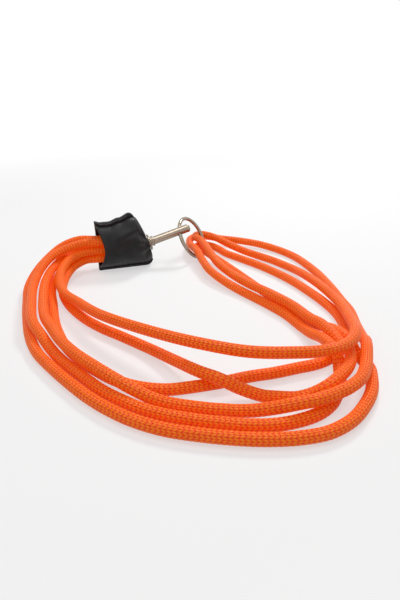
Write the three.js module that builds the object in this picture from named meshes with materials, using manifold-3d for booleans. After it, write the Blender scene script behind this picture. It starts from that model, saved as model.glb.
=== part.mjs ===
// Looped cord sling with a leather end cap, a swivel pin and a ring.
// Units are millimetres, +Z is up and the floor is z = 0.
import * as THREE from "three";
import { mergeVertices } from "three/addons/utils/BufferGeometryUtils.js";
import Module from "manifold-3d";

const wasm = await Module();
wasm.setup();

// Driving sizes
const CORD_D = 6; // braided cord
const CORD_SIDES = 8;
const RUN_STEP = 10; // length of one tube step on a long run
const BIGHT_STEP = 2.6; // and round the ring
const END_GAP = 0.5; // half the gap between two lengths of one cord
const PIN_D = 6.4;
const PIN_TILT = 15; // degrees the pin rises out of the cap
const PIN_BASE = new THREE.Vector3(-6, -5, 18.5);
const PIN_REACH = 35.3; // from the cap to the pin's tip
const EYE_AT = 26.7; // from the cap to the cross hole
const HEAD_D = 8.8;
const COLLAR_D = 8.2;
const FLANGE_D = 13;
const RUN_FIT = 0.4; // running clearance of the pin
const RING_R = 17; // centre line of the wire
const WIRE_D = 3;
const EYE_FIT = 0.5; // wire to cross hole
const RING_LEAN = 30; // degrees off upright
const RING_BEARING = -40; // degrees, which way the ring faces
const LEATHER_T = 1.6;
const CAP_MOUTH_X = -46.6;
const CAP_END_X = -6.4; // where the pin leaves; the end is square to the pin
const CAP_Y = -5; // plane of the two seams
const SEAM_GAP = 0.4;
const CAP_WIDE = 10.37; // inner half width at the fullest place
const CAP_TALL = 43;
const CUP_X0 = -36;
const CUP_X1 = -13;
const CUP_PLATE = 3;
const CUP_WALL = 0.8;
const CUP_Z = 17.2;
const CUP_HALF_Y = 6.5;
const CUP_HALF_Z = 9.9;
const THREAD_D = 1;

const group = new THREE.Group();

function material(name, color, metalness, roughness) {
  return new THREE.MeshStandardMaterial({ name, color, metalness, roughness });
}
const ORANGE = material("cord", 0xff4a12, 0, 0.8);
const LEATHER = material("leather", 0x1c1c1f, 0, 0.5);
const NICKEL = material("nickel", 0xb9ab97, 1, 0.25);
const THREAD = material("thread", 0x26262a, 0, 0.7);

function add(name, geometry, mat) {
  const mesh = new THREE.Mesh(geometry, mat);
  mesh.name = name;
  group.add(mesh);
  return mesh;
}

// A closed three.js geometry as a manifold solid
function solid(geometry) {
  const g = geometry.index ? geometry.toNonIndexed() : geometry.clone();
  g.deleteAttribute("normal");
  g.deleteAttribute("uv");
  const m = mergeVertices(g, 1e-4);
  return new wasm.Manifold(
    new wasm.Mesh({
      numProp: 3,
      vertProperties: m.attributes.position.array,
      triVerts: new Uint32Array(m.index.array),
    }),
  );
}

// A manifold solid back as a three.js geometry
function shown(s) {
  const m = s.getMesh();
  const g = new THREE.BufferGeometry();
  const position = new THREE.BufferAttribute(new Float32Array(m.vertProperties), 3);
  g.setAttribute("position", position);
  g.setIndex(new THREE.BufferAttribute(new Uint32Array(m.triVerts), 1));
  g.computeVertexNormals();
  return g;
}

// The pin's frame: local z runs along the pin, from the cap outwards
const tilt = THREE.MathUtils.degToRad(PIN_TILT);
const pinAxis = new THREE.Vector3(Math.cos(tilt), 0, Math.sin(tilt));
const pinFrame = new THREE.Matrix4()
  .makeTranslation(PIN_BASE.x, PIN_BASE.y, PIN_BASE.z)
  .multiply(new THREE.Matrix4().makeRotationY(Math.PI / 2 - tilt));

// A turned piece on the pin's axis from its profile of [radius, distance]
function turned(profile, sides = 32) {
  const points = profile.map(([r, s]) => new THREE.Vector2(r, s));
  return new THREE.LatheGeometry(points, sides).rotateX(Math.PI / 2).applyMatrix4(pinFrame);
}

// Ring: it hangs in the eye of the pin and rests on the floor
const lean = THREE.MathUtils.degToRad(RING_LEAN);
const bearing = THREE.MathUtils.degToRad(RING_BEARING);
const ringNormal = new THREE.Vector3(
  Math.cos(lean) * Math.cos(bearing),
  Math.cos(lean) * Math.sin(bearing),
  Math.sin(lean),
);
const ringU = new THREE.Vector3(-Math.sin(bearing), Math.cos(bearing), 0);
const ringV = new THREE.Vector3().crossVectors(ringNormal, ringU);
const eye = PIN_BASE.clone().addScaledVector(pinAxis, EYE_AT);
const rise = (eye.z - WIRE_D / 2) / (RING_R * ringV.z) - 1;
const psi = Math.PI - Math.asin(rise);
const ringCentre = eye
  .clone()
  .addScaledVector(ringU, -RING_R * Math.cos(psi))
  .addScaledVector(ringV, -RING_R * Math.sin(psi));
const ringFrame = new THREE.Matrix4()
  .makeBasis(ringU, ringV, ringNormal)
  .setPosition(ringCentre);
const wire = new THREE.TorusGeometry(RING_R, WIRE_D / 2, 10, 44);
add("ring", wire.applyMatrix4(ringFrame), NICKEL);

// Swivel pin: head, shank, collar and a cross hole the ring runs through
const r = PIN_D / 2;
const pinProfile = [
  [0, -15.6], [HEAD_D / 2, -15.6], [HEAD_D / 2, -13.1], [r, -13.1],
  [r, 2.8], [COLLAR_D / 2, 2.8], [COLLAR_D / 2, 4.2], [r, 4.6],
  [r, PIN_REACH - 1.2], [r - 1.1, PIN_REACH], [0, PIN_REACH],
];
const passage = new THREE.TorusGeometry(RING_R, WIRE_D / 2 + EYE_FIT, 14, 60);
const pinSolid = solid(turned(pinProfile)).subtract(solid(passage.applyMatrix4(ringFrame)));
add("swivel_pin", shown(pinSolid), NICKEL);

const bore = r + RUN_FIT;
const thrust = [
  [bore, -12.8], [HEAD_D / 2 - 0.1, -12.8], [HEAD_D / 2 - 0.1, -11.8], [bore, -11.8],
  [bore, -12.8],
];
add("thrust_washer", turned(thrust), NICKEL);

const flange = [
  [bore, 0.2], [FLANGE_D / 2, 0.2], [FLANGE_D / 2, 1.0], [FLANGE_D / 2 - 1.2, 1.8],
  [bore, 1.8], [bore, 0.2],
];
add("end_washer", turned(flange), NICKEL);

// A rounded rectangle in the plane across the cords: x is along Y, y along Z
function rounded(halfY, halfZ, corner) {
  const s = new THREE.Shape();
  s.moveTo(halfY, 0);
  s.lineTo(halfY, halfZ - corner);
  s.absarc(halfY - corner, halfZ - corner, corner, 0, Math.PI / 2);
  s.lineTo(-halfY + corner, halfZ);
  s.absarc(-halfY + corner, halfZ - corner, corner, Math.PI / 2, Math.PI);
  s.lineTo(-halfY, -halfZ + corner);
  s.absarc(-halfY + corner, -halfZ + corner, corner, Math.PI, Math.PI * 1.5);
  s.lineTo(halfY - corner, -halfZ);
  s.absarc(halfY - corner, -halfZ + corner, corner, Math.PI * 1.5, Math.PI * 2);
  return s;
}

// Extrudes that outline along +X from x0, standing on the cords' centre
function alongX(shape, x0, length) {
  const opts = { depth: length, bevelEnabled: false, curveSegments: 5 };
  const g = new THREE.ExtrudeGeometry(shape, opts);
  const m = new THREE.Matrix4().makeBasis(
    new THREE.Vector3(0, 1, 0),
    new THREE.Vector3(0, 0, 1),
    new THREE.Vector3(1, 0, 0),
  );
  return g.applyMatrix4(m).translate(x0, CAP_Y, CUP_Z);
}

// Swivel cup: the cords are crimped in its open end, the pin turns in its plate
const cupOuter = rounded(CUP_HALF_Y + CUP_WALL, CUP_HALF_Z + CUP_WALL, 4.2);
const cupInner = rounded(CUP_HALF_Y, CUP_HALF_Z, 3.4);
const cupBore = turned([[0, -20], [bore, -20], [bore, 0], [0, 0]], 28);
const cup = solid(alongX(cupOuter, CUP_X0, CUP_X1 - CUP_X0))
  .subtract(solid(alongX(cupInner, CUP_X0 - 1, CUP_X1 - CUP_X0 - CUP_PLATE + 1)))
  .subtract(solid(cupBore));
add("swivel_cup", shown(cup), NICKEL);

// Whipping: the thread binding that holds the six cords together
const bandOuter = rounded(CUP_HALF_Y + 1.1, CUP_HALF_Z + 1.1, 4.5);
const band = solid(alongX(bandOuter, CUP_X0 - 4.4, 4)).subtract(
  solid(alongX(rounded(CUP_HALF_Y, CUP_HALF_Z, 3.4), CUP_X0 - 5, 6)),
);
add("cord_whipping", shown(band), THREAD);

// Leather cap: two panels sewn together along the top and the bottom
const capTop = [
  [-46.6, 44], [-42, 41], [-36, 38.5], [-28, 39], [-20, 41.5], [-13, 43.5], [-8, 42.5],
];
const capWide = [
  [-46.6, 0.9], [-38, 1], [-20, 1.02], [0, 1.02],
];
// and how it narrows towards the closed end, by the distance from that end
const capClose = [
  [0, 0.42], [2, 0.6], [4, 0.8], [7, 0.98], [12, 1],
];
// Straight-line reading of a table, smoothed at its knots
function read(table, x) {
  let i = 0;
  while (i < table.length - 2 && x > table[i + 1][0]) i += 1;
  const t = THREE.MathUtils.clamp((x - table[i][0]) / (table[i + 1][0] - table[i][0]), 0, 1);
  return table[i][1] + (table[i + 1][1] - table[i][1]) * t * t * (3 - 2 * t);
}
function fullness(t) {
  const s = Math.sin(Math.PI * THREE.MathUtils.clamp((t - 0.07) / 0.86, 0, 1));
  return Math.pow(Math.max(0, s), 0.45);
}
// A panel is a sheet bowed to one side of the seam plane; side is -1 or 1
function panel(side, mouthCut) {
  const nu = 20;
  const nv = 22;
  const at = (i, j, depth) => {
    const t = j / nv;
    const x0 = CAP_MOUTH_X + mouthCut * Math.sin(Math.PI * t);
    const square = (PIN_BASE.z - t * CAP_TALL) * Math.tan(tilt);
    const x1 = CAP_END_X + square - 1.6 * (2 * t - 1) ** 2;
    const x = x0 + ((x1 - x0) * i) / nu;
    const z = t * read(capTop, x);
    const wide = read(capWide, x) * read(capClose, x1 - x);
    const bow = SEAM_GAP / 2 + CAP_WIDE * wide * fullness(t);
    return [x, CAP_Y + side * (bow + depth), z];
  };
  const p = [];
  const quad = (a, b, c, d) => {
    const f = side < 0 ? [a, b, c, a, c, d] : [a, c, b, a, d, c];
    f.forEach((v) => p.push(...v));
  };
  const T = LEATHER_T;
  for (let i = 0; i < nu; i += 1) {
    for (let j = 0; j < nv; j += 1) {
      quad(at(i, j, T), at(i + 1, j, T), at(i + 1, j + 1, T), at(i, j + 1, T));
      quad(at(i, j, 0), at(i, j + 1, 0), at(i + 1, j + 1, 0), at(i + 1, j, 0));
    }
    quad(at(i, 0, 0), at(i + 1, 0, 0), at(i + 1, 0, T), at(i, 0, T));
    quad(at(i, nv, T), at(i + 1, nv, T), at(i + 1, nv, 0), at(i, nv, 0));
  }
  for (let j = 0; j < nv; j += 1) {
    quad(at(0, j, T), at(0, j + 1, T), at(0, j + 1, 0), at(0, j, 0));
    quad(at(nu, j, 0), at(nu, j + 1, 0), at(nu, j + 1, T), at(nu, j, T));
  }
  const g = new THREE.BufferGeometry();
  g.setAttribute("position", new THREE.Float32BufferAttribute(p, 3));
  g.computeVertexNormals();
  return g;
}
add("leather_front_panel", panel(-1, 5), LEATHER);
add("leather_back_panel", panel(1, 1), LEATHER);

// A tube of the given diameter along hand-set points
function tube(points, diameter, sides, step, trim0, trim1, floor = diameter / 2) {
  const v = points.map((q) => new THREE.Vector3(...q));
  const n = v.length - 1;
  const pull = (a, b, d) => a.add(b.clone().sub(a).setLength(d));
  if (trim0) pull(v[0], v[1], trim0);
  if (trim1) pull(v[n], v[n - 1], trim1);
  const smooth = new THREE.CatmullRomCurve3(v, false, "centripetal");
  const close = smooth.getSpacedPoints(Math.round(smooth.getLength() / 4));
  close.forEach((q) => {
    q.z = Math.max(q.z, floor);
  });
  const path = new THREE.CatmullRomCurve3(close, false, "centripetal");
  const outline = new THREE.Shape();
  for (let k = 0; k < sides; k += 1) {
    const a = (2 * Math.PI * k) / sides;
    const x = (Math.cos(a) * diameter) / 2;
    const y = (Math.sin(a) * diameter) / 2;
    if (k) outline.lineTo(x, y);
    else outline.moveTo(x, y);
  }
  const steps = Math.max(2, Math.round(path.getLength() / step));
  return new THREE.ExtrudeGeometry(outline, { steps, extrudePath: path });
}

// Seam stitching, on the near face of the cap, beside the two sewn edges
const seamY = CAP_Y - SEAM_GAP / 2 - LEATHER_T - THREAD_D / 2 - 0.3;
const topSeam = [-43, -38, -32, -26, -20, -15].map((x) => [
  x, seamY, read(capTop, x) * 0.972,
]);
add("seam_thread_top", tube(topSeam, THREAD_D, 6, 3, 0, 0), THREAD);
const lowSeam = [[-43, seamY, 1.6], [-26, seamY, 1.6], [-5, seamY, 1.6]];
add("seam_thread_bottom", tube(lowSeam, THREAD_D, 6, 6, 0, 0), THREAD);

// Three cords. Each leaves the cup, lies round the loop, turns in the ring and
// comes back to the cup. The first point of a run is in the cup.
const runs = {
  cord_1_run_a: [
    [-24, -8.2, 23.8], [-42, -8.2, 23.8], [-49, -7.5, 24], [-57, -7, 24], [-69, -10, 22],
    [-80, -17, 19.5], [-88, -29, 15.5], [-93, -47, 11.5], [-94, -70, 10], [-93, -92, 9.6],
    [-88.5, -106, 7.5], [-83.5, -118, 4], [-78, -130, 3], [-70, -145, 3], [-62, -159, 3],
    [-53.5, -170, 3], [-45, -179, 3], [-35, -186.5, 3], [-24, -193, 3], [-14, -198, 3],
    [-5, -202, 3], [5, -205, 3], [15, -206, 3], [26, -205, 3], [36, -201, 3],
    [44, -194, 3], [50, -187, 3], [54, -180, 4], [56, -174, 8.5], [56, -168, 10],
    [57, -158, 8.5], [57, -148, 5.5], [57.5, -138, 3.5], [56, -120, 3], [50, -100, 3],
    [42, -80, 3.5], [36, -66, 5], [31, -48, 7], [31, -28, 8.5],
  ],
  cord_1_run_b: [
    [-24, -1.8, 17.2], [-42, -1.8, 17.2], [-49, -0.5, 17.2], [-57, 0, 17], [-69, -6, 15],
    [-79, -19, 12.5], [-85, -37, 10.5], [-87, -65, 9.6], [-86, -90, 10], [-82, -106, 10],
    [-78, -119, 9.6], [-72, -133, 9.6], [-64, -147, 9.6], [-56, -159, 9], [-48, -168, 7],
    [-39, -175, 4], [-29, -181, 3], [-18, -187, 3], [-9, -191, 3], [0, -195, 4],
    [9, -199, 6.5], [18, -202, 9], [27, -203, 9.6], [36, -202, 9.6], [45, -200, 9.6],
    [54, -196, 9.6], [61, -190, 9.6], [67, -183, 9.6], [73, -175, 10], [78, -168, 8.5],
    [83, -160, 4.5], [90, -144, 3], [97, -128, 3], [100, -115, 3], [105, -95, 3],
    [110, -65, 3], [109, -28, 3], [96, -2, 4], [80, 12, 5], [64, 19, 6.5],
  ],
  cord_2_run_a: [
    [-24, -8.2, 10.6], [-42, -8.2, 10.6], [-49, -7.5, 10.6], [-55, -7, 10.5], [-64, -12, 9],
    [-71, -23, 6.5], [-75, -39, 4], [-73, -61, 3], [-65, -84, 3], [-56, -100, 3],
    [-44, -116, 3], [-33, -132, 3.5], [-24, -150, 6], [-16, -168, 9.6], [-9, -176, 9.6],
    [-1, -181, 6], [10, -187, 3], [22, -192, 3], [30, -194, 5], [37, -195, 8.5],
    [45, -192, 9.6], [53, -187, 9.6], [59, -181, 9.6], [63, -174, 9.6], [63, -166, 9.6],
    [62.5, -158, 11], [62.5, -148, 11], [61.5, -138, 9.5], [60, -120, 9], [54, -100, 9],
    [47, -80, 8.5], [42, -62, 9], [39, -42, 10], [39, -25, 12],
  ],
  cord_2_run_b: [
    [-24, -8.2, 17.2], [-42, -8.2, 17.2], [-49, -7.5, 17.2], [-56, -8, 17], [-66, -13, 15.5],
    [-73, -24, 13], [-76, -40, 11], [-74, -60, 10], [-66, -78, 10.5], [-55, -104, 13.5],
    [-33, -136, 17], [-13, -159, 19.5], [7, -173, 19.5], [27, -178, 18], [42, -180, 17],
    [54, -179, 16.5], [63, -175, 16.5], [70, -168, 16.5], [76, -159, 14], [81, -149, 11.5],
    [87, -134, 10], [91, -118, 9], [93, -98, 8.5], [94, -78, 7], [95, -58, 4],
    [88, -33, 3], [74, -14, 5],
  ],
  cord_3_run_a: [
    [-24, -1.8, 23.8], [-42, -1.8, 23.8], [-49, -0.5, 24], [-58, 2, 24], [-70, 0, 21.5],
    [-82, -8, 16], [-91, -20, 11], [-97, -34, 6], [-98, -54, 3], [-97, -80, 3],
    [-95, -100, 3], [-91, -117, 3], [-85, -131, 3], [-77, -147, 3], [-68.5, -162, 3],
    [-60, -174, 3], [-51, -184, 3], [-40, -193, 3], [-26, -201, 3], [-11, -208, 3],
    [0, -212, 3], [12, -215, 3], [25, -216, 3], [38, -213, 3], [49, -207, 3],
    [59, -199, 3], [66, -190, 3], [70, -183, 3], [70.5, -176, 3.2], [70, -170, 5.5],
    [69.5, -165, 9], [69, -160, 9.6], [69, -150, 7.5], [67, -138, 4], [64, -120, 3],
    [60, -104, 3], [55, -80, 4], [50, -58, 5.5], [46, -36, 6], [43, -18, 6],
  ],
  cord_3_run_b: [
    [-24, -1.8, 10.6], [-42, -1.8, 10.6], [-49, -0.5, 10.6], [-56, 1, 10.5], [-67, -4, 9],
    [-76, -18, 6], [-82, -37, 4], [-82, -62, 3], [-81, -89, 3], [-77, -112, 3],
    [-71, -128, 3], [-63, -142, 3], [-54, -154, 3], [-45, -162, 3], [-33, -168, 3],
    [-20, -170, 3], [-5, -171, 3], [9, -171, 3], [22, -172, 3], [35, -172, 3],
    [46, -172, 3], [55, -170, 3], [63, -166, 3], [71, -161, 3], [78, -153, 3],
    [83, -142, 3], [87, -128, 3], [88, -113, 3], [87, -95, 3], [84, -73, 3],
    [76, -46, 3], [66, -24, 3], [59, -9, 3],
  ],
};
const bights = {
  cord_1_bight: [
    [31, -28, 8.5], [32, -12, 10], [31.5, 2, 9.5], [33, 12, 8.5], [36.5, 20.5, 8.5],
    [45, 26, 8.5], [54, 25, 7.5], [64, 19, 6.5],
  ],
  cord_2_bight: [
    [39, -25, 12], [40, -6, 13], [40, 4, 13], [39, 12, 12.5], [40.5, 17.5, 12.5],
    [45, 19, 12.5], [50, 17, 12], [57, 11, 10.5], [64, 0, 8], [74, -14, 5],
  ],
  cord_3_bight: [
    [43, -18, 6], [40, -4, 6.5], [39, 6, 6], [41, 12, 5], [46, 14.5, 4.5],
    [52, 10, 4], [56, 2, 3.5], [59, -9, 3],
  ],
};
for (const [name, points] of Object.entries(runs)) {
  add(name, tube(points, CORD_D, CORD_SIDES, RUN_STEP, 0, END_GAP), ORANGE);
}
for (const [name, points] of Object.entries(bights)) {
  add(name, tube(points, CORD_D, CORD_SIDES, BIGHT_STEP, END_GAP, END_GAP), ORANGE);
}

export default group;
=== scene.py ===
"""Looped cord sling: a braided cord loop crimped in a sewn leather cap, with a swivel pin and a ring."""

import math

import bmesh
import bpy
import numpy as np
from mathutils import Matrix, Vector


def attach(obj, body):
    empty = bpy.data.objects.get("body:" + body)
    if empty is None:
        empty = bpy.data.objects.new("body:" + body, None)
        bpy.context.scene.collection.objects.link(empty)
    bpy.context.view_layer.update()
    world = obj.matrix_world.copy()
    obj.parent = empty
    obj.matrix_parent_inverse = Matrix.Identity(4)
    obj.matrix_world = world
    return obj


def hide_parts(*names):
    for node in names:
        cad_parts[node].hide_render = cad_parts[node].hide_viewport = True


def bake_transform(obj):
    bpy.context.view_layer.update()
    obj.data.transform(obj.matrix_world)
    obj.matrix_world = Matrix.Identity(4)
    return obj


bl_info = {
    "name": "Looped cord sling",
    "version": (1, 0, 0),
    "blender": (4, 5, 0),
    "location": "View3D > Sidebar > Cord Sling",
    "description": "Builds a braided cord loop with a leather cap, a swivel pin and a ring",
    "category": "Object",
}

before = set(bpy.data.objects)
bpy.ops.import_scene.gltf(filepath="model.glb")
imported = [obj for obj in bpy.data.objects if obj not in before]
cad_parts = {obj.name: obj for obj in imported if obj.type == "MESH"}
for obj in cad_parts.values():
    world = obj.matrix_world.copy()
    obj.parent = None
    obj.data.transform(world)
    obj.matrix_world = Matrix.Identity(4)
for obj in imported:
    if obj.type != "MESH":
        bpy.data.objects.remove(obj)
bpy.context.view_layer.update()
MM = 0.001

# The lay of the three cords, in millimetres, from the cap round the loop, through the ring and back.
CORD_LAYS = {
    "cord_1": [
        (-24, -8.2, 23.8), (-42, -8.2, 23.8), (-49, -7.5, 24), (-57, -7, 24), (-69, -10, 22),
        (-80, -17, 19.5), (-88, -29, 15.5), (-93, -47, 11.5), (-94, -70, 10), (-93, -92, 9.6),
        (-88.5, -106, 7.5), (-83.5, -118, 4), (-78, -130, 3), (-70, -145, 3), (-62, -159, 3),
        (-53.5, -170, 3), (-45, -179, 3), (-35, -186.5, 3), (-24, -193, 3), (-14, -198, 3),
        (-5, -202, 3), (5, -205, 3), (15, -206, 3), (26, -205, 3), (36, -201, 3),
        (44, -194, 3), (50, -187, 3), (54, -180, 4), (56, -174, 8.5), (56, -168, 10),
        (57, -158, 8.5), (57, -148, 5.5), (57.5, -138, 3.5), (56, -120, 3), (50, -100, 3),
        (42, -80, 3.5), (36, -66, 5), (31, -48, 7), (31, -28, 8.5),
        (32, -12, 10), (31.5, 2, 9.5), (33, 12, 8.5), (36.5, 20.5, 8.5), (45, 26, 8.5),
        (54, 25, 7.5), (64, 19, 6.5),
        (80, 12, 5), (96, -2, 4), (109, -28, 3), (110, -65, 3), (105, -95, 3),
        (100, -115, 3), (97, -128, 3), (90, -144, 3), (83, -160, 4.5), (78, -168, 8.5),
        (73, -175, 10), (67, -183, 9.6), (61, -190, 9.6), (54, -196, 9.6), (45, -200, 9.6),
        (36, -202, 9.6), (27, -203, 9.6), (18, -202, 9), (9, -199, 6.5), (0, -195, 4),
        (-9, -191, 3), (-18, -187, 3), (-29, -181, 3), (-39, -175, 4), (-48, -168, 7),
        (-56, -159, 9), (-64, -147, 9.6), (-72, -133, 9.6), (-78, -119, 9.6), (-82, -106, 10),
        (-86, -90, 10), (-87, -65, 9.6), (-85, -37, 10.5), (-79, -19, 12.5), (-69, -6, 15),
        (-57, 0, 17), (-49, -0.5, 17.2), (-42, -1.8, 17.2), (-24, -1.8, 17.2),
    ],
    "cord_2": [
        (-24, -8.2, 10.6), (-42, -8.2, 10.6), (-49, -7.5, 10.6), (-55, -7, 10.5), (-64, -12, 9),
        (-71, -23, 6.5), (-75, -39, 4), (-73, -61, 3), (-65, -84, 3), (-56, -100, 3),
        (-44, -116, 3), (-33, -132, 3.5), (-24, -150, 6), (-16, -168, 9.6), (-9, -176, 9.6),
        (-1, -181, 6), (10, -187, 3), (22, -192, 3), (30, -194, 5), (37, -195, 8.5),
        (45, -192, 9.6), (53, -187, 9.6), (59, -181, 9.6), (63, -174, 9.6), (63, -166, 9.6),
        (62.5, -158, 11), (62.5, -148, 11), (61.5, -138, 9.5), (60, -120, 9), (54, -100, 9),
        (47, -80, 8.5), (42, -62, 9), (39, -42, 10), (39, -25, 12),
        (40, -6, 13), (40, 4, 13), (39, 12, 12.5), (40.5, 17.5, 12.5), (45, 19, 12.5),
        (50, 17, 12), (57, 11, 10.5), (64, 0, 8), (74, -14, 5),
        (88, -33, 3), (95, -58, 4), (94, -78, 7), (93, -98, 8.5), (91, -118, 9),
        (87, -134, 10), (81, -149, 11.5), (76, -159, 14), (70, -168, 16.5), (63, -175, 16.5),
        (54, -179, 16.5), (42, -180, 17), (27, -178, 18), (7, -173, 19.5), (-13, -159, 19.5),
        (-33, -136, 17), (-55, -104, 13.5), (-66, -78, 10.5), (-74, -60, 10), (-76, -40, 11),
        (-73, -24, 13), (-66, -13, 15.5), (-56, -8, 17), (-49, -7.5, 17.2), (-42, -8.2, 17.2),
        (-24, -8.2, 17.2),
    ],
    "cord_3": [
        (-24, -1.8, 23.8), (-42, -1.8, 23.8), (-49, -0.5, 24), (-58, 2, 24), (-70, 0, 21.5),
        (-82, -8, 16), (-91, -20, 11), (-97, -34, 6), (-98, -54, 3), (-97, -80, 3),
        (-95, -100, 3), (-91, -117, 3), (-85, -131, 3), (-77, -147, 3), (-68.5, -162, 3),
        (-60, -174, 3), (-51, -184, 3), (-40, -193, 3), (-26, -201, 3), (-11, -208, 3),
        (0, -212, 3), (12, -215, 3), (25, -216, 3), (38, -213, 3), (49, -207, 3),
        (59, -199, 3), (66, -190, 3), (70, -183, 3), (70.5, -176, 3.2), (70, -170, 5.5),
        (69.5, -165, 9), (69, -160, 9.6), (69, -150, 7.5), (67, -138, 4), (64, -120, 3),
        (60, -104, 3), (55, -80, 4), (50, -58, 5.5), (46, -36, 6), (43, -18, 6),
        (40, -4, 6.5), (39, 6, 6), (41, 12, 5), (46, 14.5, 4.5), (52, 10, 4), (56, 2, 3.5),
        (59, -9, 3),
        (66, -24, 3), (76, -46, 3), (84, -73, 3), (87, -95, 3), (88, -113, 3),
        (87, -128, 3), (83, -142, 3), (78, -153, 3), (71, -161, 3), (63, -166, 3),
        (55, -170, 3), (46, -172, 3), (35, -172, 3), (22, -172, 3), (9, -171, 3),
        (-5, -171, 3), (-20, -170, 3), (-33, -168, 3), (-45, -162, 3), (-54, -154, 3),
        (-63, -142, 3), (-71, -128, 3), (-77, -112, 3), (-81, -89, 3), (-82, -62, 3),
        (-82, -37, 4), (-76, -18, 6), (-67, -4, 9), (-56, 1, 10.5), (-49, -0.5, 10.6),
        (-42, -1.8, 10.6), (-24, -1.8, 10.6),
    ],
}


class SLING_PG_cord(bpy.types.PropertyGroup):
    """Sizes and colours of the braided cord."""

    diameter: bpy.props.FloatProperty(
        name="Diameter", description="Thickness of the braided cord",
        default=6.1 * MM, min=0.002, unit="LENGTH",
    )
    columns: bpy.props.IntProperty(
        name="Columns", description="Rows of V-shaped picks round the cord", default=8, min=4,
    )
    pick: bpy.props.FloatProperty(
        name="Pick", description="Length of one V of the braid along the cord",
        default=2.3 * MM, min=0.0005, unit="LENGTH",
    )
    relief: bpy.props.FloatProperty(
        name="Relief", description="Depth of the braid's valleys",
        default=0.2 * MM, min=0.0, unit="LENGTH",
    )
    # the yarn's colour half way up each yarn; the crowns take it with the green raised as a painted
    # highlight
    colour: bpy.props.FloatVectorProperty(
        name="Colour", description="Colour of the yarn on its crowns",
        default=(1.0, 0.085, 0.0), size=3, subtype="COLOR", min=0.0, max=1.0,
    )
    # painted shade: this darker red is drawn between the yarns to stand for the shade in the braid's valleys
    painted_valley_shade: bpy.props.FloatVectorProperty(
        name="Valley colour", description="Colour between the yarns",
        default=(0.72, 0.008, 0.0), size=3, subtype="COLOR", min=0.0, max=1.0,
    )


class SLING_PG_cap(bpy.types.PropertyGroup):
    """Sizes and colours of the leather cap."""

    thickness: bpy.props.FloatProperty(
        name="Leather", description="Thickness of the leather",
        default=1.6 * MM, min=0.0005, unit="LENGTH",
    )
    crease: bpy.props.FloatProperty(
        name="Crease", description="Height of the leather's creases",
        default=0.75 * MM, min=0.0, unit="LENGTH",
    )
    stitch: bpy.props.FloatProperty(
        name="Stitch", description="Spacing of the stitches",
        default=3.4 * MM, min=0.001, unit="LENGTH",
    )
    colour: bpy.props.FloatVectorProperty(
        name="Colour", description="Colour of the leather",
        default=(0.005, 0.0052, 0.0062), size=3, subtype="COLOR", min=0.0, max=1.0,
    )


class SLING_PG_metal(bpy.types.PropertyGroup):
    """Colour and finish of the metal pieces."""

    colour: bpy.props.FloatVectorProperty(
        name="Colour", description="Colour of the plating",
        default=(0.36, 0.3, 0.235), size=3, subtype="COLOR", min=0.0, max=1.0,
    )
    roughness: bpy.props.FloatProperty(
        name="Roughness", description="Roughness of the plating", default=0.2, min=0.0, max=1.0,
    )


# ---------------------------------------------------------------- shapes


def smooth_path(points, step):
    """A centripetal spline through the points, read at even steps along its length.

    Each span between two points is the Barry and Goldman pyramid of three straight
    blends, with knots spaced by the square root of the distance; the line never dips
    below a cord's radius over the floor.
    """
    p = np.array(points, float)
    p = np.vstack([2 * p[0] - p[1], p, 2 * p[-1] - p[-2]])
    gap = np.sqrt(np.linalg.norm(np.diff(p, axis=0), axis=1))
    f = np.linspace(0, 1, 40, endpoint=False)[None, :, None]
    p0, p1, p2, p3 = (p[k : len(p) - 3 + k][:, None] for k in range(4))
    g0, g1, g2 = (gap[k : len(gap) - 2 + k][:, None, None] for k in range(3))
    t1, t2, t3 = g0, g0 + g1, g0 + g1 + g2
    t = t1 + f * g1
    a1 = p0 + (p1 - p0) * t / t1
    a2 = p1 + (p2 - p1) * (t - t1) / g1
    a3 = p2 + (p3 - p2) * (t - t2) / g2
    b1 = a1 + (a2 - a1) * t / t2
    b2 = a2 + (a3 - a2) * (t - t1) / (t3 - t1)
    line = (b1 + (b2 - b1) * (t - t1) / g1).reshape(-1, 3)
    line = np.vstack([line, p[-2]])
    line[:, 2] = np.maximum(line[:, 2], CORD_RADIUS)
    run = np.concatenate([[0], np.cumsum(np.linalg.norm(np.diff(line, axis=0), axis=1))])
    n = int(run[-1] / step) + 1
    s = np.linspace(0, run[-1], n)
    return np.stack([np.interp(s, run, line[:, k]) for k in range(3)], 1), s


def path_frames(line):
    """Tangent, side and up vectors along a line: the side is kept level, so the braid doesn't spin."""
    tangent = np.gradient(line, axis=0)
    tangent /= np.linalg.norm(tangent, axis=1)[:, None]
    side = np.cross(tangent, (0.0, 0.0, 1.0))
    side /= np.linalg.norm(side, axis=1)[:, None]
    return tangent, side, np.cross(side, tangent)


def new_mesh(name, vertices, faces, smooth=True):
    """A mesh object from whole arrays, placed at the origin."""
    mesh = bpy.data.meshes.new(name)
    mesh.from_pydata(vertices.tolist(), [], faces.tolist() if hasattr(faces, "tolist") else faces)
    mesh.validate()
    mesh.update()
    mesh.polygons.foreach_set("use_smooth", np.full(len(mesh.polygons), smooth))
    obj = bpy.data.objects.new(name, mesh)
    bpy.context.scene.collection.objects.link(obj)
    return obj


def grid_faces(rows, columns, around):
    """Quads of a grid of rows by columns; with around the last column joins the first."""
    i, j = np.meshgrid(
        np.arange(rows - 1), np.arange(columns if around else columns - 1), indexing="ij"
    )
    k = (j + 1) % columns
    quad = np.stack([i * columns + j, i * columns + k, (i + 1) * columns + k, (i + 1) * columns + j], -1)
    return quad.reshape(-1, 4)


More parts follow.
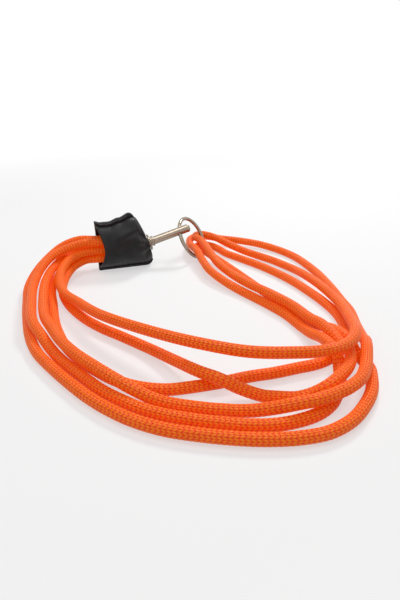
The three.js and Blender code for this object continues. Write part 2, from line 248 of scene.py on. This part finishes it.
def braid_height(across, along):
    """Height of the braid, 0 to 1, at a place across the columns and along the picks.

    Each column is a chevron: the yarn number is the distance along plus half the distance
    from the column's middle. The height is a rounded yarn times a shallow dip where the
    two legs of the chevron meet.
    """
    x = 2 * (across - np.floor(across)) - 1
    p = along + 0.5 * np.abs(x)
    p -= np.floor(p)
    yarn = np.sqrt(np.clip(np.sin(np.pi * p), 0, 1))
    dip = 0.62 * np.exp(-((x / 0.16) ** 2)) + 0.75 * np.exp(-(((np.abs(x) - 1) / 0.16) ** 2))
    return yarn * (1 - np.clip(dip, 0, 1))


def braided_tube(name, points, sizes):
    """A tube round a smooth path whose radius is the cord's less the braid's relief.

    The surface is P(s, a) = C(s) + r(s, a) (cos a side + sin a up); its ends are closed
    with a low dome. The map around and along is kept as a UV map in picks.
    """
    around = 48
    step = 0.60 * MM
    line, s = smooth_path(np.array(points) * MM, step)
    tangent, side, up = path_frames(line)
    a = np.arange(around) / around
    height = braid_height(a[None] * sizes.columns, s[:, None] / sizes.pick)
    radius = sizes.diameter / 2 - sizes.relief * (1 - height)
    c, d = np.cos(2 * np.pi * a), np.sin(2 * np.pi * a)
    ring = side[:, None] * c[None, :, None] + up[:, None] * d[None, :, None]
    body = line[:, None] + ring * radius[..., None]
    ends = []
    for at, sign in ((0, -1), (-1, 1)):
        for k in (0.6, 0.15):
            rise = 0.5 * MM * math.sqrt(1 - k * k) * sign
            ends.append(line[at] + tangent[at] * rise + ring[at] * sizes.diameter / 2 * k)
    rows = np.concatenate([[ends[1]], [ends[0]], body, [ends[2]], [ends[3]]])
    n = len(rows)
    vertices = rows.reshape(-1, 3)
    faces = grid_faces(n, around, True)[:, ::-1].tolist()
    faces.append(list(range(around)))
    faces.append(list(range(n * around - 1, (n - 1) * around - 1, -1)))
    obj = new_mesh(name, vertices, faces)
    along = np.concatenate([[-step, -step / 2], s, [s[-1] + step / 2, s[-1] + step]]) / sizes.pick
    paint_uv(obj, n, around, along, sizes.columns)
    return obj, line, s[-1]


def paint_uv(obj, rows, around, along, columns):
    """UV map of a closed tube: u counts the columns round it, v the picks along it."""
    mesh = obj.data
    corner = np.empty(len(mesh.loops), int)
    mesh.loops.foreach_get("vertex_index", corner)
    u = (corner % around) / around * columns
    v = along[np.clip(corner // around, 0, rows - 1)]
    start = np.empty(len(mesh.polygons), int)
    count = np.empty(len(mesh.polygons), int)
    mesh.polygons.foreach_get("loop_start", start)
    mesh.polygons.foreach_get("loop_total", count)
    face = np.repeat(np.arange(len(start)), count)
    column = corner % around
    low = np.full(len(start), around)
    np.minimum.at(low, face, column)
    high = np.zeros(len(start), int)
    np.maximum.at(high, face, column)
    seam = (high - low > around // 2)[face] & (column == 0)
    u = np.where(seam, columns, u)
    layer = mesh.uv_layers.new(name="Braid")
    layer.data.foreach_set("uv", np.stack([u, v], 1).ravel())


def turned_piece(name, profile, base, axis, sides=72):
    """A profile of (radius, distance) turned about an axis.

    P(k, a) = base + d_k axis + r_k (cos a i + sin a j), where i and j are square to the axis.
    """
    axis = Vector(axis).normalized()
    i = np.array(axis.orthogonal().normalized())
    j = np.cross(np.array(axis), i)
    a = np.arange(sides) * 2 * np.pi / sides
    profile = np.array(profile, float) * MM
    round_ = np.cos(a)[:, None] * i + np.sin(a)[:, None] * j
    rows = np.array(base) + profile[:, 1, None, None] * np.array(axis) + profile[:, 0, None, None] * round_
    obj = new_mesh(name, rows.reshape(-1, 3), grid_faces(len(profile), sides, True))
    weld(obj)
    obj.data.set_sharp_from_angle(angle=0.55)
    return obj


def weld(obj, distance=1e-6):
    """Merges doubled points and turns the faces outwards."""
    b = bmesh.new()
    b.from_mesh(obj.data)
    bmesh.ops.remove_doubles(b, verts=b.verts, dist=distance)
    bmesh.ops.dissolve_degenerate(b, edges=b.edges, dist=distance)
    bmesh.ops.recalc_face_normals(b, faces=b.faces)
    b.to_mesh(obj.data)
    b.free()
    obj.data.polygons.foreach_set("use_smooth", np.ones(len(obj.data.polygons), bool))


def slab(name, middle, thickness):
    """A sheet of even thickness with round rims, from its middle surface on a grid.

    The faces are M + h N and M - h N; round the border the section is a half circle,
    M + h (cos f N + sin f B), where B points out of the border.
    """
    n, m = middle.shape[:2]
    du, dv = np.gradient(middle, axis=0), np.gradient(middle, axis=1)
    normal = np.cross(du, dv)
    normal /= np.linalg.norm(normal, axis=2)[..., None]
    out_u = du / np.linalg.norm(du, axis=2)[..., None]
    out_v = dv / np.linalg.norm(dv, axis=2)[..., None]
    h = thickness / 2
    top = (middle + h * normal).reshape(-1, 3)
    low = (middle - h * normal).reshape(-1, 3)
    i, j = np.arange(n), np.arange(m)
    loop = np.concatenate([i * m, (n - 1) * m + j[1:], (i[::-1][1:]) * m + m - 1, j[::-1][1:-1]])
    # the loop runs along v = 0, up the far end, back along v = 1 and down the near end
    row, col = loop // m, loop % m
    border = np.zeros((len(loop), 3))
    border -= out_v[row, col] * (col == 0)[:, None]
    border += out_v[row, col] * (col == m - 1)[:, None]
    border -= out_u[row, col] * (row == 0)[:, None]
    border += out_u[row, col] * (row == n - 1)[:, None]
    border /= np.linalg.norm(border, axis=1)[:, None]
    parts, bands = [top, low], 5
    for k in range(1, bands):
        f = math.pi * k / bands
        parts.append(middle[row, col] + h * (math.cos(f) * normal[row, col] + math.sin(f) * border))
    vertices = np.concatenate(parts)
    quads = grid_faces(n, m, False)
    faces = [quads[:, ::-1], quads + n * m]
    middle_rims = [2 * n * m + k * len(loop) + np.arange(len(loop)) for k in range(bands - 1)]
    rims = [loop, *middle_rims, loop + n * m]
    for a, b in zip(rims[:-1], rims[1:]):
        faces.append(np.stack([a, np.roll(a, -1), np.roll(b, -1), b], 1))
    obj = new_mesh(name, vertices, np.concatenate(faces))
    weld(obj)
    return obj


# The cap's places and fullness, in millimetres
CAP_MOUTH_X = -46.6
CAP_END_X = -6.4
CAP_Y = -5.0
CAP_TALL = 43.0
CAP_FULL = 10.37
SEAM_HALF_GAP = 0.2
CORNER = 5.5
PIN_HEIGHT = 18.5

# The cap's outline, in millimetres: height of the sewn top edge and fullness along the cap,
# then how it narrows by the distance from its closed end.
CAP_TOP = [(-46.6, 39.5), (-42, 38.2), (-36, 38.2), (-28, 40.6), (-19, 44), (-8, 44)]
CAP_WIDE = [(-46.6, 0.9), (-38, 1), (-20, 1.02), (0, 1.02)]
CAP_CLOSE = [(0, 0.42), (2, 0.6), (4, 0.8), (7, 0.98), (12, 1)]
PIN_BASE = Vector((-6 * MM, CAP_Y * MM, PIN_HEIGHT * MM))
PIN_TILT = math.radians(15)
RING_RADIUS = 17 * MM
WIRE_RADIUS = 1.5 * MM
EYE_RADIUS = 2 * MM
CORD_RADIUS = 3.05 * MM
PIN_AXIS = Vector((math.cos(PIN_TILT), 0, math.sin(PIN_TILT)))


def read_curve(table, x):
    """Reads a table of knots with an ease in and out between them."""
    xs, ys = np.array(table, float).T
    i = np.clip(np.searchsorted(xs, x, side="right") - 1, 0, len(xs) - 2)
    t = np.clip((x - xs[i]) / (xs[i + 1] - xs[i]), 0, 1)
    return ys[i] + (ys[i + 1] - ys[i]) * t * t * (3 - 2 * t)


def leather_panel(name, side, mouth_cut, sizes):
    """One panel of the cap, bowed to one side of the seam plane.

    x runs from the mouth, cut back in its middle, to an end square to the pin; the bow is
    two blended powers of a sine of the height times the cap's width, with flat sewn margins.
    Creases are ridges that fan out of the pin's end and a slow wave along the cap.
    """
    nu, nv = 110, 120
    i, t = np.meshgrid(np.linspace(0, 1, nu), np.linspace(0, 1, nv), indexing="ij")
    half = sizes.thickness / MM / 2
    x0 = CAP_MOUTH_X + mouth_cut * np.sin(np.pi * t) + half
    square = (PIN_HEIGHT - CAP_TALL * t) * math.tan(PIN_TILT)
    x1 = CAP_END_X + square - 1.6 * (2 * t - 1) ** 2 - half
    x = x0 + (x1 - x0) * i
    z = half + t * (read_curve(CAP_TOP, x) - 2 * half)
    turn = np.clip(CORNER - (x1 - x), 0, CORNER)
    inset = CORNER - np.sqrt(CORNER**2 - turn**2)
    z += inset * (0.7 * (1 - t) ** 3 - t**3)
    wide = read_curve(CAP_WIDE, x) * read_curve(CAP_CLOSE, x1 - x)
    ease = np.clip((t - 0.07) / 0.86, 0, 1)
    full = np.sin(np.pi * ease) ** 0.8 * 0.55 + 0.45 * np.sin(np.pi * ease) ** 0.4
    bow = SEAM_HALF_GAP + CAP_FULL * wide * full
    near = np.exp(-(((x1 - x) / 11) ** 2))
    angle = np.arctan2(z - PIN_HEIGHT, x1 + 4 - x)
    crease = near * np.sin(9 * angle + 1.3 * side + 0.1 * x)
    roll = np.sin(0.33 * x + 0.22 * z + side) * np.sin(0.19 * z - 0.13 * x + 2 * side)
    fold = np.exp(-(((z - 30 - 0.35 * (x + 26)) / 1.6) ** 2)) * np.exp(-(((x + 22) / 9) ** 2))
    fold -= 0.8 * np.exp(-(((z - 27 - 0.4 * (x + 26)) / 1.5) ** 2)) * np.exp(-(((x + 20) / 8) ** 2))
    hem = np.exp(-(((x - x0 - 1.5) / 1.2) ** 2))
    lift = sizes.crease / MM * (0.9 * crease + 0.8 * roll + fold) * np.clip(full, 0, 1) + 0.15 * hem
    middle = np.stack([x, CAP_Y + side * (bow + half + lift), z], -1) * MM
    if side > 0:
        middle = middle[:, ::-1]
    return slab(name, middle, sizes.thickness)


def thread_piece(name, points, radius, sides=10):
    """A plain round thread through the points."""
    line = even_path(np.array(points), 0.25 * MM)
    _, side, up = path_frames(line + 1e-9)
    a = np.arange(sides) * 2 * np.pi / sides
    ring = side[:, None] * np.cos(a)[None, :, None] + up[:, None] * np.sin(a)[None, :, None]
    rows = line[:, None] + ring * radius
    n = len(rows)
    faces = grid_faces(n, sides, True).tolist()
    faces.append(list(range(sides)))
    faces.append(list(range(n * sides - 1, (n - 1) * sides - 1, -1)))
    obj = new_mesh(name, rows.reshape(-1, 3), faces)
    weld(obj)
    return obj


def even_path(points, step):
    """A polyline read at even steps along its length."""
    run = np.concatenate([[0], np.cumsum(np.linalg.norm(np.diff(points, axis=0), axis=1))])
    s = np.linspace(0, run[-1], max(8, int(run[-1] / step)))
    line = np.stack([np.interp(s, run, points[:, k]) for k in range(3)], 1)
    return line


# ---------------------------------------------------------------- finishes


def link_math(tree, operation, *values):
    """Adds a Math node; each value is a number or a socket."""
    node = tree.nodes.new("ShaderNodeMath")
    node.operation = operation
    for k, value in enumerate(values):
        if isinstance(value, (int, float)):
            node.inputs[k].default_value = value
        else:
            tree.links.new(value, node.inputs[k])
    return node.outputs[0]


def braid_weave_group():
    """Height of the braid's yarns from its UV map: chevrons with a rounded yarn and dips between."""
    group = bpy.data.node_groups.new("BraidWeave", "ShaderNodeTree")
    group.interface.new_socket("Map", in_out="INPUT", socket_type="NodeSocketVector")
    group.interface.new_socket("Height", in_out="OUTPUT", socket_type="NodeSocketFloat")
    group.interface.new_socket("Fibres", in_out="OUTPUT", socket_type="NodeSocketFloat")
    start, end = group.nodes.new("NodeGroupInput"), group.nodes.new("NodeGroupOutput")
    split = group.nodes.new("ShaderNodeSeparateXYZ")
    group.links.new(start.outputs["Map"], split.inputs[0])
    part = link_math(group, "FRACT", split.outputs["X"])
    across = link_math(group, "ABSOLUTE", link_math(group, "MULTIPLY_ADD", part, 2.0, -1.0))
    slope = link_math(group, "MULTIPLY_ADD", across, 0.5, split.outputs["Y"])
    wave = link_math(group, "SINE", link_math(group, "MULTIPLY", link_math(group, "FRACT", slope), math.pi))
    yarn = link_math(group, "SQRT", link_math(group, "MAXIMUM", wave, 0.0))
    middle = group.nodes.new("ShaderNodeMapRange")
    middle.inputs["From Min"].default_value, middle.inputs["From Max"].default_value = 0.0, 0.22
    middle.inputs["To Min"].default_value, middle.inputs["To Max"].default_value = 0.35, 1.0
    group.links.new(across, middle.inputs["Value"])
    edge = group.nodes.new("ShaderNodeMapRange")
    edge.inputs["From Min"].default_value, edge.inputs["From Max"].default_value = 1.0, 0.78
    edge.inputs["To Min"].default_value, edge.inputs["To Max"].default_value = 0.25, 1.0
    group.links.new(across, edge.inputs["Value"])
    dip = link_math(group, "MULTIPLY", middle.outputs[0], edge.outputs[0])
    group.links.new(link_math(group, "MULTIPLY", yarn, dip), end.inputs["Height"])
    fibre = link_math(group, "SINE", link_math(group, "MULTIPLY", slope, 2 * math.pi * 5))
    group.links.new(link_math(group, "MULTIPLY_ADD", fibre, 0.5, 0.5), end.inputs["Fibres"])
    return group


def grain_group():
    """Pebbled grain and fine pores for leather, from Object coordinates."""
    group = bpy.data.node_groups.new("LeatherGrain", "ShaderNodeTree")
    group.interface.new_socket("Place", in_out="INPUT", socket_type="NodeSocketVector")
    group.interface.new_socket("Height", in_out="OUTPUT", socket_type="NodeSocketFloat")
    group.interface.new_socket("Wear", in_out="OUTPUT", socket_type="NodeSocketFloat")
    start, end = group.nodes.new("NodeGroupInput"), group.nodes.new("NodeGroupOutput")
    pebble = group.nodes.new("ShaderNodeTexVoronoi")
    pebble.feature = "DISTANCE_TO_EDGE"
    pebble.inputs["Scale"].default_value = 1100
    pore = group.nodes.new("ShaderNodeTexNoise")
    pore.inputs["Scale"].default_value = 2600
    cloud = group.nodes.new("ShaderNodeTexNoise")
    cloud.inputs["Scale"].default_value = 110
    cloud.inputs["Detail"].default_value = 5
    for node in (pebble, pore, cloud):
        group.links.new(start.outputs["Place"], node.inputs["Vector"])
    bump = link_math(group, "MINIMUM", link_math(group, "MULTIPLY", pebble.outputs["Distance"], 4.0), 1.0)
    group.links.new(link_math(group, "MULTIPLY_ADD", pore.outputs["Fac"], 0.35, bump), end.inputs["Height"])
    group.links.new(cloud.outputs["Fac"], end.inputs["Wear"])
    return group


def new_material(name, roughness, **plain):
    """A material with a Principled shader whose plain values sit on its own sockets."""
    material = bpy.data.materials.new(name)
    material.use_nodes = True
    shader = material.node_tree.nodes["Principled BSDF"]
    shader.inputs["Roughness"].default_value = roughness
    for key, value in plain.items():
        shader.inputs[key.replace("_", " ")].default_value = value
    return material, material.node_tree, shader


def ramp(tree, factor, stops):
    """A colour ramp read by the factor; stops are (place, colour)."""
    node = tree.nodes.new("ShaderNodeValToRGB")
    for k, (place, colour) in enumerate(stops):
        element = node.color_ramp.elements[k] if k < 2 else node.color_ramp.elements.new(place)
        element.position = place
        element.color = (*colour, 1)
    tree.links.new(factor, node.inputs["Fac"])
    return node.outputs["Color"]


def raise_surface(tree, shader, height, distance, strength=1.0):
    """Feeds a height through a Bump node to the shader's normal."""
    bump = tree.nodes.new("ShaderNodeBump")
    bump.inputs["Distance"].default_value = distance
    bump.inputs["Strength"].default_value = strength
    tree.links.new(height, bump.inputs["Height"])
    tree.links.new(bump.outputs[0], shader.inputs["Normal"])


def cord_material(sizes):
    """Bright braided yarn: dark red in the valleys as painted shade, orange on the yarn, a yellower painted
    highlight on the crowns, a faint glow that keeps the shaded sides bright, fibres along each pick.
    """
    # painted light: the emission makes the cord glow faintly, so its shaded sides stay bright red
    material, tree, shader = new_material(
        "Braided cord", 0.42, Specular_IOR_Level=0.3, Emission_Strength=0.14
    )
    uv = tree.nodes.new("ShaderNodeUVMap")
    uv.uv_map = "Braid"
    weave = tree.nodes.new("ShaderNodeGroup")
    weave.node_tree = bpy.data.node_groups["BraidWeave"]
    tree.links.new(uv.outputs[0], weave.inputs["Map"])
    place = tree.nodes.new("ShaderNodeTexCoord")
    patch = tree.nodes.new("ShaderNodeTexNoise")
    patch.inputs["Scale"].default_value = 260
    tree.links.new(place.outputs["Object"], patch.inputs["Vector"])
    shade = link_math(tree, "MULTIPLY_ADD", patch.outputs["Fac"], 0.25, -0.12)
    tone = link_math(tree, "ADD", weave.outputs["Height"], shade)
    # painted highlight and shade: the crowns get the yarn colour with its green raised, a painted yellow
    # highlight; the valleys get a darker red, painted shade
    top = tuple(sizes.colour)
    painted_crown_highlight = (top[0], top[1] * 2.6, top[2])
    colour = ramp(tree, tone, [(0.08, tuple(sizes.painted_valley_shade)), (1.0, painted_crown_highlight), (0.5, top)])
    tree.links.new(colour, shader.inputs["Base Color"])
    # painted light: the glow takes the same painted shade and highlight colours
    tree.links.new(colour, shader.inputs["Emission Color"])
    fine = link_math(tree, "MULTIPLY_ADD", weave.outputs["Fibres"], 0.18, weave.outputs["Height"])
    raise_surface(tree, shader, fine, 0.25 * MM)
    return material


def leather_material(sizes):
    """Black satin leather with a pebbled grain and faintly rubbed patches."""
    material, tree, shader = new_material("Black leather", 0.4, Specular_IOR_Level=0.25)
    place = tree.nodes.new("ShaderNodeTexCoord")
    grain = tree.nodes.new("ShaderNodeGroup")
    grain.node_tree = bpy.data.node_groups["LeatherGrain"]
    tree.links.new(place.outputs["Object"], grain.inputs["Place"])
    base = tuple(sizes.colour)
    rubbed = tuple(min(1, c * 2.6 + 0.004) for c in base)
    colour = ramp(tree, grain.outputs["Wear"], [(0.35, base), (0.75, rubbed)])
    tree.links.new(colour, shader.inputs["Base Color"])
    rough = link_math(tree, "MULTIPLY_ADD", grain.outputs["Wear"], 0.34, 0.16)
    tree.links.new(rough, shader.inputs["Roughness"])
    raise_surface(tree, shader, grain.outputs["Height"], 0.1 * MM, 0.6)
    return material


def thread_material():
    """Waxed black thread, wound in fine turns."""
    material, tree, shader = new_material("Waxed thread", 0.5)
    place = tree.nodes.new("ShaderNodeTexCoord")
    wound = tree.nodes.new("ShaderNodeTexWave")
    wound.bands_direction = "X"
    wound.inputs["Scale"].default_value = 380
    tree.links.new(place.outputs["Object"], wound.inputs["Vector"])
    colour = ramp(tree, wound.outputs["Fac"], [(0.0, (0.006, 0.006, 0.007)), (1.0, (0.05, 0.05, 0.055))])
    tree.links.new(colour, shader.inputs["Base Color"])
    raise_surface(tree, shader, wound.outputs["Fac"], 0.1 * MM, 0.5)
    return material


def metal_material(sizes):
    """Bright plating with faint rubbing in its gloss, and darker patches painted into its colour as painted
    dark reflections.
    """
    material, tree, shader = new_material("Nickel plate", sizes.roughness, Metallic=1.0)
    place = tree.nodes.new("ShaderNodeTexCoord")
    rub_and_reflection = tree.nodes.new("ShaderNodeTexNoise")
    rub_and_reflection.inputs["Scale"].default_value = 420
    rub_and_reflection.inputs["Detail"].default_value = 6
    tree.links.new(place.outputs["Object"], rub_and_reflection.inputs["Vector"])
    base = tuple(sizes.colour)
    # painted reflection: the darker patches of colour stand in for dark reflections on the plating; the same
    # noise also varies roughness and bump
    painted_dark_reflection = tuple(c * 0.76 for c in base)
    tree.links.new(ramp(tree, rub_and_reflection.outputs["Fac"], [(0.3, painted_dark_reflection), (0.62, base)]), shader.inputs["Base Color"])
    rough = link_math(tree, "MULTIPLY_ADD", rub_and_reflection.outputs["Fac"], 0.2, sizes.roughness - 0.1)
    tree.links.new(rough, shader.inputs["Roughness"])
    raise_surface(tree, shader, rub_and_reflection.outputs["Fac"], 0.02 * MM, 0.3)
    return material


def give(obj, material):
    """Puts one material on a piece or a CAD node."""
    obj.data.materials.clear()
    obj.data.materials.append(material)


def finishes(name, make, *args):
    """The material of that name, made the first time it is asked for."""
    return bpy.data.materials.get(name) or make(*args)


# ---------------------------------------------------------------- operators


class SLING_OT_stage(bpy.types.Operator):
    """Adds the pale floor, the lamps and the camera"""

    bl_idname = "sling.stage"
    bl_label = "Stage"

    def execute(self, context):
        corner = np.array([(-3, -3, 0), (3, -3, 0), (3, 3, 0), (-3, 3, 0)], float)
        floor = new_mesh("floor", corner, [(0, 1, 2, 3)], False)
        material, tree, shader = new_material("Pale floor", 0.8)
        shader.inputs["Base Color"].default_value = (0.85, 0.85, 0.85, 1)
        glow = tree.nodes.new("ShaderNodeEmission")
        mix = tree.nodes.new("ShaderNodeMixShader")
        place = tree.nodes.new("ShaderNodeTexCoord")
        reach = tree.nodes.new("ShaderNodeVectorMath")
        reach.operation = "LENGTH"
        tree.links.new(place.outputs["Object"], reach.inputs[0])
        fade = tree.nodes.new("ShaderNodeMapRange")
        fade.inputs["From Min"].default_value, fade.inputs["From Max"].default_value = 0.25, 0.6
        fade.inputs["To Min"].default_value, fade.inputs["To Max"].default_value = 0.55, 1.0
        tree.links.new(reach.outputs["Value"], fade.inputs["Value"])
        seen = self.seen(tree)
        tree.links.new(link_math(tree, "MULTIPLY", seen, fade.outputs[0]), mix.inputs[0])
        tree.links.new(shader.outputs[0], mix.inputs[1])
        tree.links.new(glow.outputs[0], mix.inputs[2])
        tree.links.new(mix.outputs[0], tree.nodes["Material Output"].inputs["Surface"])
        give(floor, material)

        world = bpy.data.worlds.new("Studio")
        context.scene.world = world
        world.use_nodes = True
        tree = world.node_tree
        back = tree.nodes["Background"]
        back.inputs["Color"].default_value = (1, 1, 1, 1)
        tree.links.new(link_math(tree, "MULTIPLY_ADD", self.seen(tree), 0.75, 0.25), back.inputs["Strength"])

        for name, at, size, power in (
            ("key", (0.4, 0.4, 0.7), 0.2, 4.6),
            ("overhead", (0.0, -0.1, 0.9), 0.5, 2.4),
            ("fill", (-0.7, -0.6, 0.5), 0.5, 0.9),
        ):
            lamp = bpy.data.lights.new(name, "AREA")
            lamp.size, lamp.energy = size, power
            obj = bpy.data.objects.new(name, lamp)
            obj.location = at
            aim = Vector((0.0, -0.09, 0.0)) - Vector(at)
            obj.rotation_euler = aim.to_track_quat("-Z", "Y").to_euler()
            context.scene.collection.objects.link(obj)

        lens = bpy.data.cameras.new("camera")
        lens.lens, lens.sensor_width, lens.clip_start = 25.8, 36, 0.01
        camera = bpy.data.objects.new("camera", lens)
        camera.location = (-0.06754, -0.32692, 0.1335)
        camera.rotation_euler = Vector((0.2751, 0.8467, -0.4555)).to_track_quat("-Z", "Y").to_euler()
        context.scene.collection.objects.link(camera)
        context.scene.camera = camera
        context.scene.view_settings.view_transform = "Standard"
        return {"FINISHED"}

    def seen(self, tree):
        """1 for rays from the camera, from gloss or through glass, else 0."""
        rays = tree.nodes.new("ShaderNodeLightPath")
        both = link_math(tree, "MAXIMUM", rays.outputs["Is Camera Ray"], rays.outputs["Is Glossy Ray"])
        return link_math(tree, "MAXIMUM", both, rays.outputs["Is Transmission Ray"])


class SLING_OT_cords(bpy.types.Operator):
    """Lays the three braided cords"""

    bl_idname = "sling.cords"
    bl_label = "Braided cords"

    def execute(self, context):
        sizes = context.scene.sling_cord
        braid_weave_group()
        material = finishes("Braided cord", cord_material, sizes)
        for name, points in CORD_LAYS.items():
            obj, line, length = braided_tube(name + "_braid", points, sizes)
            give(obj, material)
            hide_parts(name + "_run_a", name + "_bight", name + "_run_b")
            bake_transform(obj)
        return {"FINISHED"}


class SLING_OT_cap(bpy.types.Operator):
    """Sews the two leather panels and their stitches"""

    bl_idname = "sling.cap"
    bl_label = "Leather cap"

    def execute(self, context):
        sizes = context.scene.sling_cap
        grain_group()
        leather = finishes("Black leather", leather_material, sizes)
        thread = finishes("Waxed thread", thread_material)
        for name, side, cut in (("leather_front", -1, 5), ("leather_back", 1, 1)):
            obj = leather_panel(name + "_skin", side, cut, sizes)
            give(obj, leather)
            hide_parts(name + "_panel")
            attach(obj, "cap")
        for name, low, high in (("top", -43, -22), ("bottom", -43, -10)):
            x = np.linspace(low, high, 400)
            z = read_curve(CAP_TOP, x) * 0.972 if name == "top" else np.full(400, 1.6)
            dive = np.abs(np.sin(np.pi * (x - low) * MM / sizes.stitch)) ** 0.6
            points = np.stack([x, -6.75 - 0.62 * dive, z], 1) * MM
            obj = thread_piece("stitches_" + name, points, 0.36 * MM)
            give(obj, thread)
            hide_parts("seam_thread_" + name)
            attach(obj, "cap")
        give(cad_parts["cord_whipping"], thread)
        return {"FINISHED"}


class SLING_OT_swivel(bpy.types.Operator):
    """Turns the pin, its end washer and the ring, and plates the hidden fittings"""

    bl_idname = "sling.swivel"
    bl_label = "Swivel, pin and ring"

    def execute(self, context):
        plate = finishes("Nickel plate", metal_material, context.scene.sling_metal)
        pin = turned_piece(
            "pin_turned",
            [
                (0, -15.6), (4.2, -15.6), (4.4, -15.4), (4.4, -13.3), (4.2, -13.1), (3.2, -13.1),
                (3.2, 2.8), (3.9, 2.8), (4.1, 3.0), (4.1, 4.1), (3.9, 4.3), (3.2, 4.6), (3.2, 33.9),
                (3.0, 34.4), (2.4, 35.0), (1.9, 35.3), (0, 35.3),
            ],
            PIN_BASE, PIN_AXIS,
        )
        cutter = torus("cutter", RING_RADIUS, EYE_RADIUS, 24, 160)
        hole = pin.modifiers.new("Eye", "BOOLEAN")
        hole.operation, hole.solver, hole.object = "DIFFERENCE", "EXACT", cutter
        context.view_layer.update()
        cut = bpy.data.meshes.new_from_object(pin.evaluated_get(context.evaluated_depsgraph_get()))
        if len(cut.polygons) < 200:
            raise RuntimeError("the pin's eye could not be cut")
        pin.modifiers.clear()
        pin.data = cut
        bpy.data.objects.remove(cutter)
        pin.data.polygons.foreach_set("use_smooth", np.ones(len(pin.data.polygons), bool))
        pin.data.set_sharp_from_angle(angle=0.55)
        washer = turned_piece(
            "end_washer_turned",
            [
                (3.62, 0.2), (6.3, 0.2), (6.5, 0.4), (6.5, 1.0), (6.35, 1.2), (5.4, 1.75),
                (5.2, 1.8), (3.62, 1.8), (3.62, 0.2),
            ],
            PIN_BASE, PIN_AXIS,
        )
        ring = torus("ring_round", RING_RADIUS, WIRE_RADIUS, 32, 192)
        for obj, node, body in (
            (pin, "swivel_pin", "pin"), (washer, "end_washer", "cap"), (ring, "ring", "ring"),
        ):
            give(obj, plate)
            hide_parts(node)
            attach(obj, body)
        for node in ("swivel_cup", "thrust_washer"):
            give(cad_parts[node], plate)
        return {"FINISHED"}


def torus(name, radius, wire, sides, around):
    """The ring's torus, C + (R + r cos b)(cos a u + sin a v) + r sin b n, hung in the pin's eye."""
    centre = np.array((32.392, 1.765, 16.222)) * MM
    u, v = np.array((0.64279, 0.76604, 0.0)), np.array((-0.38302, 0.32139, 0.86603))
    n = np.cross(u, v)
    a = (np.arange(around) * 2 * np.pi / around)[:, None, None]
    b = (np.arange(sides) * 2 * np.pi / sides)[None, :, None]
    p = centre + (radius + wire * np.cos(b)) * (np.cos(a) * u + np.sin(a) * v) + wire * np.sin(b) * n
    i, j = np.meshgrid(np.arange(around), np.arange(sides), indexing="ij")
    ni, nj = (i + 1) % around, (j + 1) % sides
    quad = np.stack([i * sides + j, ni * sides + j, ni * sides + nj, i * sides + nj], -1).reshape(-1, 4)
    obj = new_mesh(name, p.reshape(-1, 3), quad)
    weld(obj)
    return obj


class SLING_PT_panel(bpy.types.Panel):
    """Lists the sling's pieces"""

    bl_idname = "SLING_PT_panel"
    bl_label = "Cord Sling"
    bl_space_type = "VIEW_3D"
    bl_region_type = "UI"
    bl_category = "Cord Sling"

    def draw(self, context):
        layout = self.layout
        for settings in ("sling_cord", "sling_cap", "sling_metal"):
            group = getattr(context.scene, settings)
            for name in group.__annotations__:
                layout.prop(group, name)
        for operator in ("sling.stage", "sling.cords", "sling.cap", "sling.swivel"):
            layout.operator(operator)


CLASSES = (
    SLING_PG_cord, SLING_PG_cap, SLING_PG_metal, SLING_OT_stage, SLING_OT_cords,
    SLING_OT_cap, SLING_OT_swivel, SLING_PT_panel,
)


def register():
    for cls in CLASSES:
        bpy.utils.register_class(cls)
    bpy.types.Scene.sling_cord = bpy.props.PointerProperty(type=SLING_PG_cord)
    bpy.types.Scene.sling_cap = bpy.props.PointerProperty(type=SLING_PG_cap)
    bpy.types.Scene.sling_metal = bpy.props.PointerProperty(type=SLING_PG_metal)


def unregister():
    del bpy.types.Scene.sling_metal
    del bpy.types.Scene.sling_cap
    del bpy.types.Scene.sling_cord
    for cls in reversed(CLASSES):
        bpy.utils.unregister_class(cls)


def main():
    register()
    bpy.ops.sling.stage()
    bpy.ops.sling.cords()
    bpy.ops.sling.cap()
    bpy.ops.sling.swivel()
    bpy.context.view_layer.update()


if __name__ == "__main__":
    main()
